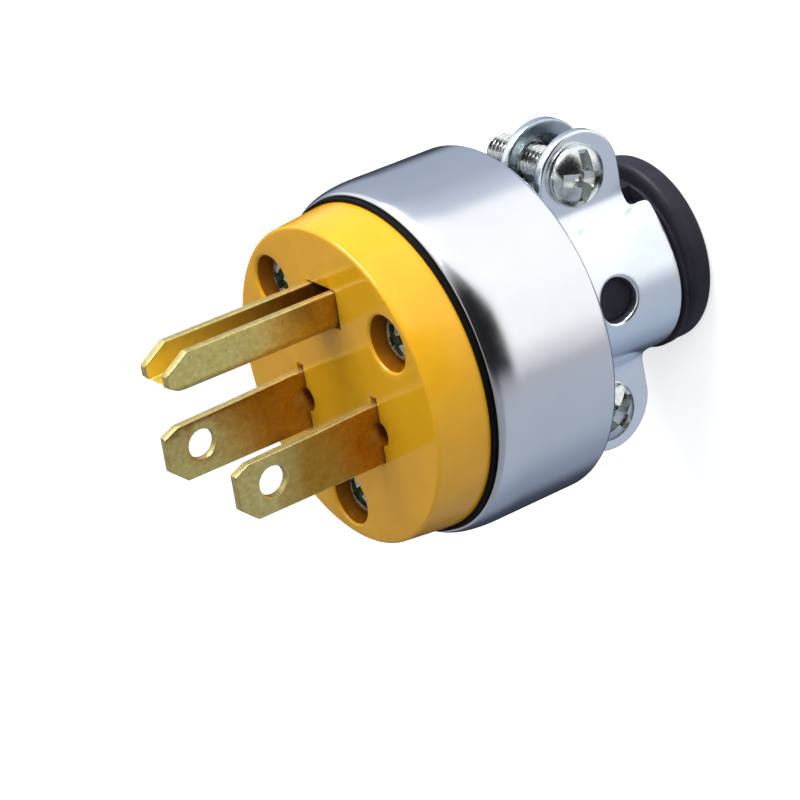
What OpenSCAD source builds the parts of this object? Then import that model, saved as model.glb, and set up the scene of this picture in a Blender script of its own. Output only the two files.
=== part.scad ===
// Straight-blade grounding plug in a steel shell with a two-half cord clamp.
// Units are millimetres. The plug stands on the flat end of its cord bushing.
// +Z runs up the axis to the blade tips, +X runs from one flat blade to the
// other (the clamp screw heads are on this side), +Y runs to the ground pin.

/* [Overall] */

// Length from the bushing's rear face to the tip of the ground pin
overall_length = 60; // [58.5:0.5:63]
// Outside diameter of the steel shell
shell_diameter = 37; // [36.9:0.1:38.4]
// Length of the steel shell along the axis
shell_length = 14.2; // [13.6:0.2:15.4]
// Height of the front insert that shows in front of the shell
insert_reveal = 6.3; // [5.8:0.1:7]

/* [Blades] */

// Flat blade length in front of the face
blade_length = 16.6; // [15.9:0.1:18.2]
// Flat blade width
blade_width = 6.35; // [6.2:0.05:6.5]
// Flat blade thickness
blade_thickness = 1.0; // [0.8:0.1:1.5]
// Distance between the middle planes of the flat blades
blade_spacing = 12.7; // [12.5:0.1:12.9]
// Diameter of the hole through each flat blade
blade_hole = 3.1; // [2.8:0.1:3.5]
// Height of the blade hole above the face
blade_hole_height = 12.6; // [11.6:0.1:12.9]
// Ground pin length in front of the face
ground_length = 19.5; // [19:0.1:21]
// Ground pin width across its two arms
ground_width = 4.8; // [4.6:0.1:4.9]
// Ground pin height from its web to the open edges of its arms
ground_height = 4.0; // [3.9:0.1:4.6]
// Distance from the flat blade line to the ground pin's middle
ground_offset = 11.9; // [11.8:0.1:12]
// Sheet thickness of the folded ground pin
ground_sheet = 0.9; // [0.7:0.1:1.1]

/* [Inserts] */

// Thickness of the liner between the inserts and the shell
liner_thickness = 0.35; // [0.3:0.05:0.6]
// How much the front insert's radius narrows from the liner to the face
face_taper = 0.55; // [0.4:0.05:0.8]
// Depth of a face screw recess
recess_depth = 4.3; // [3.6:0.1:4.6]
// Diameter of a face screw recess
recess_diameter = 5.8; // [5.6:0.1:6.2]
// Distance from the inserts' edge to a face screw's axis
screw_inset = 4.55; // [4.3:0.05:4.7]

/* [Cord clamp] */

// Outside diameter of the clamp's half-round neck
neck_diameter = 18; // [17.6:0.2:18.4]
// Sheet thickness of the clamp halves
clamp_sheet = 1.2; // [1:0.1:1.4]
// Gap between the ears of the two halves
clamp_gap = 4.2; // [3.6:0.2:5]
// Distance between the two clamp screws
clamp_screw_pitch = 26.4; // [25.6:0.2:27]
// Radius of an ear's rounded end
ear_radius = 5.1; // [4.8:0.1:5.4]
// Distance from the neck's rear end to the middle of the ears
ear_height = 6.9; // [6.7:0.1:7.3]
// Diameter of the round hole in the side of each half
side_hole = 4.6; // [4:0.2:5]

/* [Bushing] */

// Diameter of the bushing's flange
flange_diameter = 20.2; // [19.8:0.2:21]
// Thickness of the bushing's flange
flange_thickness = 2.7; // [2.4:0.1:3]
// Diameter of the cord hole through the bushing
cord_bore = 9; // [8:0.5:10]

/* [Hidden] */

$fn = 96;

// Small lengths shared by several pieces: a snug clearance, an overlap that
// joins two solids of one piece, how far a cut runs past the face it opens,
// and a length that passes right through a piece
fit = 0.05;
eps = 0.01;
past = 1;
cut = overall_length;
// Steps in a quarter of a turned edge
round_steps = 6;

// Levels along the axis
face_z = overall_length - ground_length;
shell_front_z = face_z - insert_reveal;
shell_back_z = shell_front_z - shell_length;
shell_wall = 0.9;
shell_floor_z = shell_back_z + shell_wall;
insert_depth = 9.1;
joint_z = face_z - insert_depth;
rear_insert_z = shell_floor_z + clamp_sheet;
blade_tip_z = face_z + blade_length;

// Shell and liner radii
shell_r = shell_diameter / 2;
shell_in_r = shell_r - shell_wall;
shell_lip_length = 3.8;
shell_lip_depth = 0.81;
shell_edge_r = 0.7;
neck_play = 0.6;
neck_opening_r = neck_diameter / 2 + neck_play;
liner_out_r = shell_in_r - fit;
liner_in_r = liner_out_r - liner_thickness;
liner_reveal = 0.6;
liner_front_z = shell_front_z + liner_reveal;

// Inserts
insert_r = liner_in_r - fit;
face_r = insert_r - face_taper;
face_round = 0.5;
draft_start = 0.8;
blade_y = -3.1;
blade_x = blade_spacing / 2;
ground_y = blade_y + ground_offset;
ground_web_y = ground_y - ground_height / 2;
ground_open_y = ground_y + ground_height / 2;
draft_z = shell_front_z + draft_start;
slot_extra = 0.6;
slot_relief_r = 1.3;
slot_relief_shift = 0.35;

// Blade tip corners on the side away from the ground pin and on the side of
// it, each as [in from the edge, down from the tip]
blade_tip_outer = [[0, 1.8], [1.6, 0]];
blade_tip_inner = [[1.2, 0], [0.45, 1.6], [0.25, 9], [0, 15]];
dimple_sphere_r = 3.9;
dimple_depth = 0.2;
dimple_height = 1.6;
dimple_z = face_z + dimple_height;

// Ground pin: outer radius of its two bends, and the corners of its tip on
// the web side and on the open side, as [in from the side, down from the tip]
ground_bend_r = 1.2;
pin_tip_web = [[-1, 3.2], [0, 2.5], [0.4, 1.1], [1.1, 0]];
pin_tip_open = [[1.7, 0], [0, 2.6], [-1, 2.6]];
pin_tip_z = face_z + ground_length;

// Inside part of the blades and their pockets
tab_lap = 1;
tab_floor = 1.9;
tab_floor_z = rear_insert_z + tab_floor;
tab_foot = 0.6;
tab_foot_z = tab_floor_z + tab_foot;
tab_shoulder = 4.6;
tab_shoulder_h = 1.5;
tab_shoulder_z = joint_z - tab_shoulder_h;
terminal_height = 3.7;
terminal_z = tab_floor_z + terminal_height;
pocket_half = 5;
ground_tab_half = 3.6;
ground_pocket_half = 4;
wire_ledge = 1.5;
wire_passage_r = neck_diameter / 2 - wire_ledge;
wire_passage_top_z = tab_floor_z + wire_ledge;
wire_channel = 5;
wire_channel_reach = 12.5;

// Face screws: two at this angle to either side of +Y and one at -Y, all three
// turned a little towards +X
face_screw_angle = 50;
face_screw_turn = 4;
face_screw_r = 1.5;
face_screw_hole_r = 1.8;
face_head_r = 2.55;
face_head_h = 1.8;
face_dome_r = 3.6;
collar_r = 2.5;
collar_hole_r = 2.8;

// Cross recesses in the screw heads, as [span, slot width, depth]
clamp_cross = [4.8, 1.0, 1.1];
terminal_cross = [3.6, 0.8, 0.9];
face_cross = [3.4, 0.8, 0.9];

// Bevel at the end of every screw, as [in from the side, up from the end]
screw_point = [0.4, 0.6];

// Terminal screws and wire plates
terminal_r = 1.4;
terminal_head_r = 2.7;
terminal_head_h = 1.7;
terminal_dome_r = 3.6;
terminal_shaft = 4.6;
terminal_hole_r = 1.8;
plate_side = 6;
plate_t = 0.8;
plate_play = 0.15;
plate_hole_r = terminal_r + plate_play;

// Cord clamp
neck_r = neck_diameter / 2;
neck_in_r = neck_r - clamp_sheet;
neck_end_gap = 0.5;
neck_end_z = flange_thickness + neck_end_gap;
ear_in_x = clamp_gap / 2;
ear_out_x = ear_in_x + clamp_sheet;
ear_mid_z = neck_end_z + ear_height;
clamp_screw_y = clamp_screw_pitch / 2;
ear_mid_shift = 0.5;
ear_mid_y = clamp_screw_y - ear_mid_shift;
clamp_screw_shift = 0.8;
clamp_screw_z = ear_mid_z + clamp_screw_shift;
side_hole_y = 1.0;
side_hole_shift = 1.3;
side_hole_z = ear_mid_z + side_hole_shift;
ear_fillet = 1.2;
ear_lap_x = ear_out_x - clamp_sheet / 3;
ear_lap_y = 0.3;
ear_spread = 0.3;
ear_low_z = ear_mid_z - ear_radius - ear_spread;
notch_r = 0.8;
clamp_flange_play = 0.55;
clamp_flange_r = insert_r - clamp_flange_play;
clamp_split = 0.5;
clamp_thread_r = 1.95;
clamp_hole_r = 2.15;
clamp_tap_r = 2.0;
clamp_head_r = 3.3;
clamp_head_h = 2.3;
clamp_dome_r = 4.2;
clamp_shaft = 12.5;
ear_collar_r = 3.0;
ear_collar_h = 1.1;
ear_dish_r = 3.1;
ear_dish_depth = 0.9;

// Bushing
flange_r = flange_diameter / 2;
flange_edge = 0.5;
flange_shift = 1.0;
sleeve_r = neck_in_r - fit;
sleeve_reach = 0.4;
sleeve_top_z = shell_back_z + sleeve_reach;
rib_r = neck_r + 0.2;
rib_gap = 0.3;
rib_half = ear_in_x - rib_gap;
rib_top_z = shell_back_z - rib_gap;
cord_r = cord_bore / 2;
cord_mouth = 0.8;

// Colours
steel = [0.80, 0.82, 0.85];
zinc = [0.76, 0.79, 0.84];
yellow = [0.93, 0.68, 0.13];
brass = [0.74, 0.62, 0.28];
black = [0.10, 0.10, 0.11];
green = [0.15, 0.42, 0.22];

// Helpers

// A profile drawn in (Y, Z) and pulled along +X from x0
module along_x(x0, length) {
  translate([x0, 0, 0])
    rotate([90, 0, 90])
      linear_extrude(height = length)
        children();
}

module ring(outer, inner, z0, height) {
  translate([0, 0, z0])
    difference() {
      cylinder(r = outer, h = height);
      translate([0, 0, -eps])
        cylinder(r = inner, h = height + 2 * eps);
    }
}

// The three face screw positions, each child centred on a screw's axis
module at_face_screws() {
  for (a = [face_screw_angle, -face_screw_angle, 180])
    at_face_screw(a + face_screw_turn)
      children();
}

module at_face_screw(a) {
  r = insert_r - screw_inset;
  translate([r * sin(a), r * cos(a), 0])
    children();
}

// A cross cut into a screw head whose top is at z = 0
module cross_recess(span, width, depth) {
  translate([-span / 2, -width / 2, -depth])
    cube([span, width, depth + past]);
  translate([-width / 2, -span / 2, -depth])
    cube([width, span, depth + past]);
}

// A domed head on z = 0 with its shaft below
module pan_screw(head_r, head_h, dome_r, shaft_r, shaft, cross) {
  difference() {
    intersection() {
      cylinder(r = head_r, h = head_h);
      translate([0, 0, head_h - dome_r])
        sphere(r = dome_r);
    }
    translate([0, 0, head_h])
      cross_recess(cross[0], cross[1], cross[2]);
  }
  translate([0, 0, -shaft])
    cylinder(r1 = shaft_r - screw_point[0], r2 = shaft_r, h = screw_point[1]);
  translate([0, 0, screw_point[1] - shaft])
    cylinder(r = shaft_r, h = shaft - screw_point[1] + eps);
}

// The cord bushing, with a rib in each gap between the clamp halves

module cord_bushing() {
  color(black)
    difference() {
      union() {
        translate([0, flange_shift, flange_edge])
          cylinder(r = flange_r, h = flange_thickness - 2 * flange_edge);
        translate([0, flange_shift, 0])
          cylinder(r1 = flange_r - flange_edge, r2 = flange_r, h = flange_edge);
        translate([0, flange_shift, flange_thickness - flange_edge])
          cylinder(r1 = flange_r, r2 = flange_r - flange_edge, h = flange_edge);
        translate([0, 0, flange_thickness / 2])
          cylinder(r = sleeve_r, h = sleeve_top_z - flange_thickness / 2);
        translate([0, 0, flange_thickness / 2])
          linear_extrude(height = rib_top_z - flange_thickness / 2)
            intersection() {
              circle(r = rib_r);
              square([2 * rib_half, cut], center = true);
            }
      }
      translate([0, 0, -past])
        cylinder(r = cord_r, h = cut);
      translate([0, 0, -eps])
        cylinder(r1 = cord_r + cord_mouth, r2 = cord_r, h = cord_mouth);
    }
}

// The cord clamp

// One half on the +X side: half-round neck, narrower behind the ears, two ears,
// and a flange in the shell
module clamp_half_blank() {
  difference() {
    union() {
      translate([0, 0, ear_low_z])
        linear_extrude(height = shell_floor_z - ear_low_z + eps)
          neck_section(ear_in_x);
      translate([0, 0, neck_end_z])
        linear_extrude(height = ear_low_z - neck_end_z + eps)
          neck_section(ear_out_x);
      ear(1);
      ear(-1);
      intersection() {
        ring(clamp_flange_r, neck_in_r, shell_floor_z, clamp_sheet);
        translate([clamp_split, -cut, 0])
          cube([cut, 2 * cut, 2 * cut]);
      }
    }
    translate([0, side_hole_y, side_hole_z])
      rotate([0, 90, 0])
        cylinder(r = side_hole / 2, h = cut);
  }
}

// Holes in both flanges for the collars that the face screws thread into
module collar_holes() {
  translate([0, 0, shell_floor_z - past])
    at_face_screws()
      cylinder(r = collar_hole_r, h = clamp_sheet + 2 * past);
}

module neck_section(edge_x) {
  intersection() {
    difference() {
      circle(r = neck_r);
      circle(r = neck_in_r);
    }
    translate([edge_x, -cut])
      square([cut, 2 * cut]);
  }
}

// An ear reaching out to +Y (side = 1) or -Y (side = -1), a little wider at its
// root, with its bend fillet and a rounded notch behind it
module ear(side) {
  root_y = sqrt(neck_in_r * neck_in_r - ear_in_x * ear_in_x);
  notch_y = sqrt(neck_r * neck_r - ear_out_x * ear_out_x);
  fillet_x = ear_out_x + ear_fillet;
  fillet_y = sqrt(pow(neck_r + ear_fillet, 2) - fillet_x * fillet_x);
  touch = neck_r / (neck_r + ear_fillet);
  mirror([0, side < 0 ? 1 : 0, 0]) {
    along_x(ear_in_x, clamp_sheet) {
      intersection() {
        union() {
          translate([ear_mid_y, ear_mid_z])
            circle(r = ear_radius);
          polygon([[root_y, ear_low_z],
                   [ear_mid_y, ear_mid_z - ear_radius],
                   [ear_mid_y, ear_mid_z + ear_radius],
                   [root_y, ear_mid_z + ear_radius]]);
        }
        translate([root_y, 0])
          square([cut, cut]);
      }
      difference() {
        translate([root_y, ear_low_z - notch_r])
          square([notch_y + notch_r - root_y, notch_r + ear_spread / 2]);
        translate([notch_y + notch_r, ear_low_z - notch_r])
          circle(r = notch_r);
      }
    }
    translate([0, 0, ear_low_z])
      linear_extrude(height = 2 * ear_radius + ear_spread)
        difference() {
          polygon([[ear_lap_x, fillet_y],
                   [fillet_x, fillet_y],
                   [touch * fillet_x, touch * fillet_y],
                   [ear_lap_x, root_y + ear_lap_y]]);
          translate([fillet_x, fillet_y])
            circle(r = ear_fillet);
        }
  }
}

// Both clamp screw positions, with +Z of the child pointing along +X
module at_clamp_screw(side) {
  translate([ear_out_x, side * clamp_screw_y, clamp_screw_z])
    rotate([0, 90, 0])
      children();
}

module clamp_half_near() {
  color(zinc)
    difference() {
      clamp_half_blank();
      collar_holes();
      for (side = [-1, 1])
        at_clamp_screw(side)
          translate([0, 0, -clamp_sheet - past])
            cylinder(r = clamp_hole_r, h = clamp_sheet + 2 * past);
    }
}

// The far half carries drawn collars that the clamp screws thread into
module clamp_half_far() {
  collar_end = -ear_out_x - ear_in_x - clamp_sheet - ear_collar_h;
  color(zinc)
    difference() {
      union() {
        mirror([1, 0, 0])
          clamp_half_blank();
        for (side = [-1, 1])
          at_clamp_screw(side)
            translate([0, 0, collar_end])
              cylinder(r = ear_collar_r, h = ear_collar_h + eps);
      }
      collar_holes();
      for (side = [-1, 1])
        at_clamp_screw(side) {
          translate([0, 0, collar_end - past])
            cylinder(r = clamp_tap_r, h = ear_collar_h + clamp_sheet + 2 * past);
          translate([0, 0, -ear_out_x - ear_in_x - ear_dish_depth])
            cylinder(r1 = clamp_tap_r, r2 = ear_dish_r, h = ear_dish_depth + eps);
        }
    }
}

module clamp_screw(side) {
  color(zinc)
    at_clamp_screw(side)
      pan_screw(clamp_head_r, clamp_head_h, clamp_dome_r,
                clamp_thread_r, clamp_shaft, clamp_cross);
}

module clamp_screw_ground_side() {
  clamp_screw(1);
}

module clamp_screw_blade_side() {
  clamp_screw(-1);
}

// The shell and its liner

// Cup open to the front, with a rounded lip and an inturned back wall
module shell() {
  step = 90 / round_steps;
  lip = [for (i = [0 : round_steps])
           [shell_r - shell_lip_depth * (1 - cos(step * i)),
            shell_front_z - shell_lip_length * (1 - sin(step * i))]];
  back = [for (i = [0 : round_steps])
            [shell_r - shell_edge_r * (1 - sin(step * i)),
             shell_back_z + shell_edge_r * (1 - cos(step * i))]];
  color(steel)
    difference() {
      union() {
        rotate_extrude()
          polygon(concat([[neck_opening_r, shell_back_z]], back, lip,
                         [[shell_in_r, shell_front_z],
                          [shell_in_r, shell_floor_z],
                          [neck_opening_r, shell_floor_z]]));
        translate([0, 0, shell_floor_z - eps])
          at_face_screws()
            cylinder(r = collar_r, h = clamp_sheet + eps);
      }
      translate([0, 0, shell_back_z - past])
        at_face_screws()
          cylinder(r = face_screw_r + fit, h = shell_wall + clamp_sheet + 2 * past);
    }
}

module liner() {
  color(black)
    ring(liner_out_r, liner_in_r, shell_floor_z, liner_front_z - shell_floor_z);
}

// The two inserts

// Pocket for a flat blade's tab, open to the outside on the +X side, with a
// channel under the tab for the conductor
module flat_pocket() {
  translate([blade_x - blade_thickness / 2, blade_y - pocket_half, tab_floor_z])
    cube([cut, 2 * pocket_half, joint_z - tab_floor_z + past]);
  translate([0, blade_y - wire_channel / 2, rear_insert_z - past])
    cube([wire_channel_reach, wire_channel, tab_floor + 2 * past]);
}

// The same for the ground pin's tab, open on the +Y side
module ground_pocket() {
  translate([-ground_pocket_half, ground_web_y, tab_floor_z])
    cube([2 * ground_pocket_half, cut, joint_z - tab_floor_z + past]);
  translate([-wire_channel / 2, 0, rear_insert_z - past])
    cube([wire_channel, wire_channel_reach, tab_floor + 2 * past]);
}

module rear_insert() {
  core_x = blade_x - blade_thickness / 2;
  color(black)
    difference() {
      translate([0, 0, rear_insert_z])
        cylinder(r = insert_r, h = joint_z - rear_insert_z);
      translate([0, 0, rear_insert_z - past])
        cylinder(r = wire_passage_r, h = wire_passage_top_z - rear_insert_z + past);
      flat_pocket();
      mirror([1, 0, 0])
        flat_pocket();
      ground_pocket();
      translate([0, 0, rear_insert_z - past])
        at_face_screws()
          cylinder(r = face_screw_hole_r, h = cut);
      for (side = [-1, 1])
        translate([side * core_x, blade_y, terminal_z])
          rotate([0, -90 * side, 0])
            translate([0, 0, -past])
              cylinder(r = terminal_hole_r, h = terminal_shaft + past);
      translate([0, ground_web_y + past, terminal_z])
        rotate([90, 0, 0])
          cylinder(r = terminal_hole_r, h = terminal_shaft + past);
    }
}

// Opening in the face for one flat blade, with a half-round relief on its +X side
module blade_slot(x) {
  half_t = blade_thickness / 2 + fit;
  half_w = blade_width / 2 + fit;
  translate([x - half_t, blade_y - half_w, joint_z - past])
    cube([2 * half_t, 2 * half_w + slot_extra, cut]);
  translate([x + slot_relief_shift, blade_y, joint_z - past])
    cylinder(r = slot_relief_r, h = cut);
}

module front_insert() {
  step = 90 / round_steps;
  half_g = ground_width / 2 + fit;
  color(yellow)
    difference() {
      rotate_extrude()
        polygon(concat([[0, joint_z],
                        [insert_r, joint_z],
                        [insert_r, draft_z]],
                       [for (i = [0 : round_steps])
                          [face_r - face_round * (1 - cos(step * i)),
                           face_z - face_round * (1 - sin(step * i))]],
                       [[0, face_z]]));
      blade_slot(blade_x);
      blade_slot(-blade_x);
      translate([-half_g, ground_web_y - fit, joint_z - past])
        cube([2 * half_g, ground_height + 3 * fit, cut]);
      at_face_screws() {
        translate([0, 0, joint_z - past])
          cylinder(r = face_screw_hole_r, h = cut);
        translate([0, 0, face_z - recess_depth])
          cylinder(r = recess_diameter / 2, h = recess_depth + past);
      }
    }
}

// The blades

// Flat blade outline in (Y, Z) about its own middle line
module blade_outline() {
  w = blade_width / 2;
  polygon(concat([[-w, tab_foot_z],
                  [-w, tab_shoulder_z],
                  [-tab_shoulder, tab_shoulder_z],
                  [-tab_shoulder, joint_z],
                  [-w, joint_z]],
                 [for (p = blade_tip_outer) [p[0] - w, blade_tip_z - p[1]]],
                 [for (p = blade_tip_inner) [w - p[0], blade_tip_z - p[1]]],
                 [[w, joint_z],
                  [tab_shoulder, joint_z],
                  [tab_shoulder, tab_shoulder_z],
                  [w, tab_shoulder_z],
                  [w, tab_foot_z]]));
}

module flat_blade(x) {
  color(brass)
    difference() {
      along_x(x - blade_thickness / 2, blade_thickness)
        translate([blade_y, 0])
          blade_outline();
      translate([x, blade_y, face_z + blade_hole_height])
        rotate([0, 90, 0])
          cylinder(r = blade_hole / 2, h = cut, center = true);
      translate([x, blade_y, terminal_z])
        rotate([0, 90, 0])
          cylinder(r = terminal_r + fit, h = cut, center = true);
      translate([x + blade_thickness / 2 + dimple_sphere_r - dimple_depth, blade_y, dimple_z])
        sphere(r = dimple_sphere_r);
    }
}

module line_blade() {
  flat_blade(blade_x);
}

module neutral_blade() {
  flat_blade(-blade_x);
}

// Folded channel: two arms, open to +Y, joined by a web with rounded corners
module ground_section() {
  w = ground_width / 2;
  flat = w - ground_bend_r;
  difference() {
    union() {
      translate([-w, ground_web_y + ground_bend_r])
        square([2 * w, ground_height - ground_bend_r]);
      translate([-flat, ground_web_y])
        square([2 * flat, ground_bend_r + eps]);
      for (side = [-1, 1])
        translate([side * flat, ground_web_y + ground_bend_r])
          circle(r = ground_bend_r);
    }
    translate([-w + ground_sheet, ground_web_y + ground_sheet])
      square([2 * (w - ground_sheet), ground_height]);
  }
}

module ground_pin() {
  flat = ground_width / 2 - ground_bend_r;
  color(brass)
    difference() {
      union() {
        intersection() {
          translate([0, 0, joint_z])
            linear_extrude(height = pin_tip_z - joint_z)
              ground_section();
          along_x(-ground_width, 2 * ground_width)
            polygon(concat([[ground_web_y - past, joint_z - past]],
                           [for (p = pin_tip_web) [ground_web_y + p[0], pin_tip_z - p[1]]],
                           [for (p = pin_tip_open) [ground_open_y - p[0], pin_tip_z - p[1]]],
                           [[ground_open_y + past, joint_z - past]]));
        }
        translate([-ground_tab_half, ground_web_y, tab_foot_z])
          cube([2 * ground_tab_half, ground_sheet, joint_z - tab_foot_z]);
        translate([-flat, ground_web_y, joint_z - eps])
          cube([2 * flat, ground_sheet, tab_lap]);
      }
      translate([0, ground_web_y, terminal_z])
        rotate([90, 0, 0])
          cylinder(r = terminal_r + fit, h = cut, center = true);
    }
}

// Terminal screws and wire plates

module terminal_screw() {
  pan_screw(terminal_head_r, terminal_head_h, terminal_dome_r,
            terminal_r, terminal_shaft, terminal_cross);
}

module line_terminal_screw() {
  color(brass)
    translate([blade_x + blade_thickness / 2 + plate_t, blade_y, terminal_z])
      rotate([0, 90, 0])
        terminal_screw();
}

module neutral_terminal_screw() {
  color(steel)
    translate([-blade_x - blade_thickness / 2 - plate_t, blade_y, terminal_z])
      rotate([0, -90, 0])
        terminal_screw();
}

module ground_terminal_screw() {
  color(green)
    translate([0, ground_web_y + ground_sheet + plate_t, terminal_z])
      rotate([-90, 0, 0])
        terminal_screw();
}

// Square plate under a terminal screw's head, drawn on z = 0
module wire_plate() {
  difference() {
    translate([-plate_side / 2, -plate_side / 2, 0])
      cube([plate_side, plate_side, plate_t]);
    translate([0, 0, -past])
      cylinder(r = plate_hole_r, h = plate_t + 2 * past);
  }
}

module line_wire_plate() {
  color(brass)
    translate([blade_x + blade_thickness / 2, blade_y, terminal_z])
      rotate([0, 90, 0])
        wire_plate();
}

module neutral_wire_plate() {
  color(steel)
    translate([-blade_x - blade_thickness / 2, blade_y, terminal_z])
      rotate([0, -90, 0])
        wire_plate();
}

module ground_wire_plate() {
  color(brass)
    translate([0, ground_web_y + ground_sheet, terminal_z])
      rotate([-90, 0, 0])
        wire_plate();
}

// Face screws

module face_screw(a) {
  head_z = face_z - recess_depth;
  color(zinc)
    at_face_screw(a + face_screw_turn)
      translate([0, 0, head_z])
        pan_screw(face_head_r, face_head_h, face_dome_r,
                  face_screw_r, head_z - shell_back_z, face_cross);
}

module face_screw_line() {
  face_screw(face_screw_angle);
}

module face_screw_neutral() {
  face_screw(-face_screw_angle);
}

module face_screw_bottom() {
  face_screw(180);
}

cord_bushing();
clamp_half_near();
clamp_half_far();
clamp_screw_ground_side();
clamp_screw_blade_side();
shell();
liner();
rear_insert();
front_insert();
line_blade();
neutral_blade();
ground_pin();
line_terminal_screw();
neutral_terminal_screw();
ground_terminal_screw();
line_wire_plate();
neutral_wire_plate();
ground_wire_plate();
face_screw_line();
face_screw_neutral();
face_screw_bottom();
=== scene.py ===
"""Looks of a straight-blade grounding plug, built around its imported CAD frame.

Shapes are worked out in millimetres and made in metres. +Z runs up the axis to
the blade tips, +X is the side of the clamp screw heads, +Y the ground pin's side.
"""
import math

import bmesh
import bpy
import numpy as np
from mathutils import Matrix, Vector
from mathutils.geometry import delaunay_2d_cdt


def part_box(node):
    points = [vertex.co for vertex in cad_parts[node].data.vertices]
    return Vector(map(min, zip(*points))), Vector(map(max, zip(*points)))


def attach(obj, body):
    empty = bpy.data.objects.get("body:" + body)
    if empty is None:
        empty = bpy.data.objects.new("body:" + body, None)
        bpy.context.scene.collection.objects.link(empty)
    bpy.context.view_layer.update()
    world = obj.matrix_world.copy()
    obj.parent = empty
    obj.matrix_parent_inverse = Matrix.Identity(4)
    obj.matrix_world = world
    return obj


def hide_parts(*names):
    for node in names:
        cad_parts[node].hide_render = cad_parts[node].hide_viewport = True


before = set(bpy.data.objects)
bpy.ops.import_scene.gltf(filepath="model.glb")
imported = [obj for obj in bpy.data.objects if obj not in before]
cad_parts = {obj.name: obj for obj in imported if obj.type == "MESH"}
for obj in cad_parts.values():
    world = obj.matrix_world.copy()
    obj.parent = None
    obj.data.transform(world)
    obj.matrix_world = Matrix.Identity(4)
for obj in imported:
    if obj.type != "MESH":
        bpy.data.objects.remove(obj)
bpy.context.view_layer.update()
MM = 0.001


def node_box(node):
    """Lowest and highest corner of a CAD node, in millimetres."""
    low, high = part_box(node)
    return [c / MM for c in low], [c / MM for c in high]


# ---- sizes, in millimetres and read from the frame where a node's box gives them

insert_low, insert_high = node_box("front_insert")
shell_low, shell_high = node_box("shell")
liner_high = node_box("liner")[1]
line_low, line_high = node_box("line_blade")
pin_low, pin_high = node_box("ground_pin")
near_low = node_box("clamp_half_near")[0]

# Front insert
FACE_Z = insert_high[2]
JOINT_Z = insert_low[2]
INSERT_R = insert_high[0]
FACE_R = INSERT_R - 0.55
FACE_ROUND = 0.35
DRAFT_Z = 35.0
PLAY = 0.05
RELIEF_R = 1.3
RELIEF_SHIFT = 0.35

# Face screws and their recesses
RECESS_R = 2.9
RECESS_DEPTH = 2.7
RECESS_ROUND = 0.28
FACE_SCREW_R = INSERT_R - 4.55
FACE_SCREWS = [(FACE_SCREW_R * math.sin(math.radians(a)), FACE_SCREW_R * math.cos(math.radians(a)),
                "face_screw_" + n) for a, n in ((54, "line"), (-46, "neutral"), (184, "bottom"))]

# Shell and liner
SHELL_R = shell_high[0]
SHELL_WALL = 0.9
SHELL_IN_R = SHELL_R - SHELL_WALL
SHELL_FRONT_Z = shell_high[2]
SHELL_BACK_Z = shell_low[2]
SHELL_FLOOR_Z = SHELL_BACK_Z + SHELL_WALL
SHELL_FLOOR_R = 17.3
SHELL_FLOOR_BEND = 0.3
SHELL_LIP_LENGTH = 3.8
SHELL_LIP_DEPTH = 0.81
SHELL_BACK_ROUND = 0.7
SHELL_COLLAR_BORE_R = 1.55
SHELL_COLLAR_T = 0.95
SHELL_COLLAR_H = 1.2
NECK_OPENING_R = 9.6
LINER_R = liner_high[0]
LINER_IN_R = LINER_R - 0.35
LINER_FRONT_Z = liner_high[2]

# Flat blades
BLADE_X = (line_low[0] + line_high[0]) / 2
BLADE_T = line_high[0] - line_low[0]
BLADE_Y = (line_low[1] + line_high[1]) / 2
BLADE_W = 6.35
BLADE_TIP_Z = line_high[2]
BLADE_HOLE_R = 1.55
BLADE_HOLE_Z = FACE_Z + 12.6
DIMPLE_Z = FACE_Z + 1.6
DIMPLE_BALL_R = 3.9
DIMPLE_DEPTH = 0.2
TAB_FOOT_Z = line_low[2]
TAB_HALF_W = 4.6
TAB_SHOULDER_Z = 29.9
TERMINAL_Z = 27.7
TERMINAL_HOLE_R = 1.45

# Ground pin
PIN_W = 4.8
PIN_H = pin_high[1] - pin_low[1]
PIN_SHEET = 0.9
PIN_BEND = 1.2
PIN_TIP_Z = pin_high[2]
PIN_WEB_Y = pin_low[1]
PIN_TAB_HALF_W = 3.6
PIN_BEVEL_REACH = 5

# Cord clamp and its screws, as (y, z) of their axes
NECK_R = 9.0
NECK_SHEET = 1.2
NECK_MID_R = NECK_R - NECK_SHEET / 2
NECK_END_Z = near_low[2]
EAR_OUT_X = 3.3
EAR_R = 5.1
CLAMP_SCREWS = ((13.3, 11.0), (-13.2, 10.5))
SIDE_HOLE_Y = 1.0
SIDE_HOLE_Z = 11.4
SIDE_HOLE_R = 2.3

# Bushing
FLANGE_R = 10.1
FLANGE_SHIFT = 1.0
FLANGE_T = 2.7
CORD_R = 4.5
SLEEVE_R = 7.75
SLEEVE_TOP_Z = 20.4
SLEEVE_FOOT_Z = 2.0
COLLAR_R = 9.35
COLLAR_IN_R = 6.0
COLLAR_TOP_Z = 3.08
RIB_HALF_W = 1.8
RIB_IN_Y = 6.5
RIB_TOP_Z = 19.7
RIB_FOOT_Z = 2.2

SHARP_ANGLE = math.radians(32)

# How close a plate's grid points may come to its extra points and its borders, as
# shares of the grid's step
EXTRA_CLEAR = 0.4
BORDER_CLEAR = 0.35


# ---- mesh helpers

def link(obj):
    bpy.context.scene.collection.objects.link(obj)
    return obj


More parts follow.
